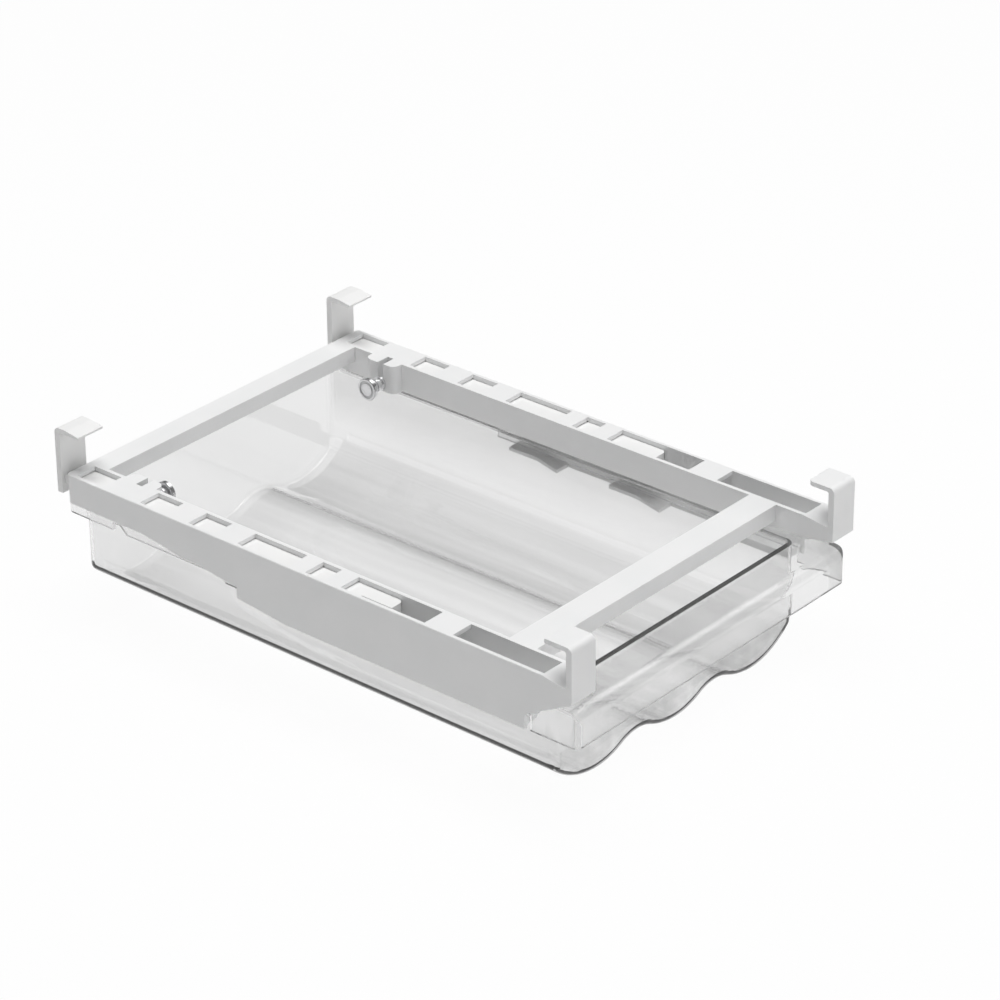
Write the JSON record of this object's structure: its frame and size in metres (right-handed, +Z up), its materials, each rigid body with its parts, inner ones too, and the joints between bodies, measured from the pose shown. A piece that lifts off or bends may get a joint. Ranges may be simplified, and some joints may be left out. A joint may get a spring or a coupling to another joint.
{
  "type": "hanging egg drawer",
  "caption": "Pull-out egg drawer that hangs under a refrigerator shelf: white hooked frame with sliding rear hooks and a clear lobed tray.",
  "frame": {"origin": "centre of the part's bounding box in plan, at the lowest point of the tray", "axes": "+Z up; -Y is the front, towards which the tray is pulled; +X is the right side seen from the front"},
  "size_m": [0.207, 0.3176, 0.095],
  "materials": {
    "white_plastic": "satin moulded white plastic",
    "white_hook_plastic": "satin moulded white plastic",
    "clear_plastic": "clear polished plastic",
    "turned_steel": "bright turned steel",
    "bearing_steel": "ground bearing steel",
    "shield_steel": "pressed sheet steel",
    "ball_steel": "polished steel"
  },
  "bodies": {
    "frame": {"hanging_frame": "white_plastic", "left_roller_stud": "turned_steel", "left_bearing_inner_ring": "bearing_steel", "right_roller_stud": "turned_steel", "right_bearing_inner_ring": "bearing_steel"},
    "tray": {"egg_tray": "clear_plastic"},
    "left_hook": {"left_rear_hook": "white_hook_plastic"},
    "left_roller": {"left_bearing_outer_ring": "bearing_steel", "left_bearing_shields": "shield_steel", "left_bearing_balls": "ball_steel"},
    "right_hook": {"right_rear_hook": "white_hook_plastic"},
    "right_roller": {"right_bearing_outer_ring": "bearing_steel", "right_bearing_shields": "shield_steel", "right_bearing_balls": "ball_steel"}
  },
  "joints": [
    {"name": "tray_slide", "type": "slide", "parent": "frame", "child": "tray", "axis": [0, -1, 0], "range_m": [0, 0.18]},
    {"name": "left_hook_slide", "type": "slide", "parent": "frame", "child": "left_hook", "axis": [0, 1, 0], "range_m": [0, 0.09]},
    {"name": "right_hook_slide", "type": "slide", "parent": "frame", "child": "right_hook", "axis": [0, 1, 0], "range_m": [0, 0.09]},
    {"name": "left_roller_spin", "type": "hinge", "parent": "frame", "child": "left_roller", "pos_m": [-0.0722, 0.11775, 0.0607], "axis": [1, 0, 0], "continuous": true},
    {"name": "right_roller_spin", "type": "hinge", "parent": "frame", "child": "right_roller", "pos_m": [0.0722, 0.11775, 0.0607], "axis": [1, 0, 0], "continuous": true}
  ]
}
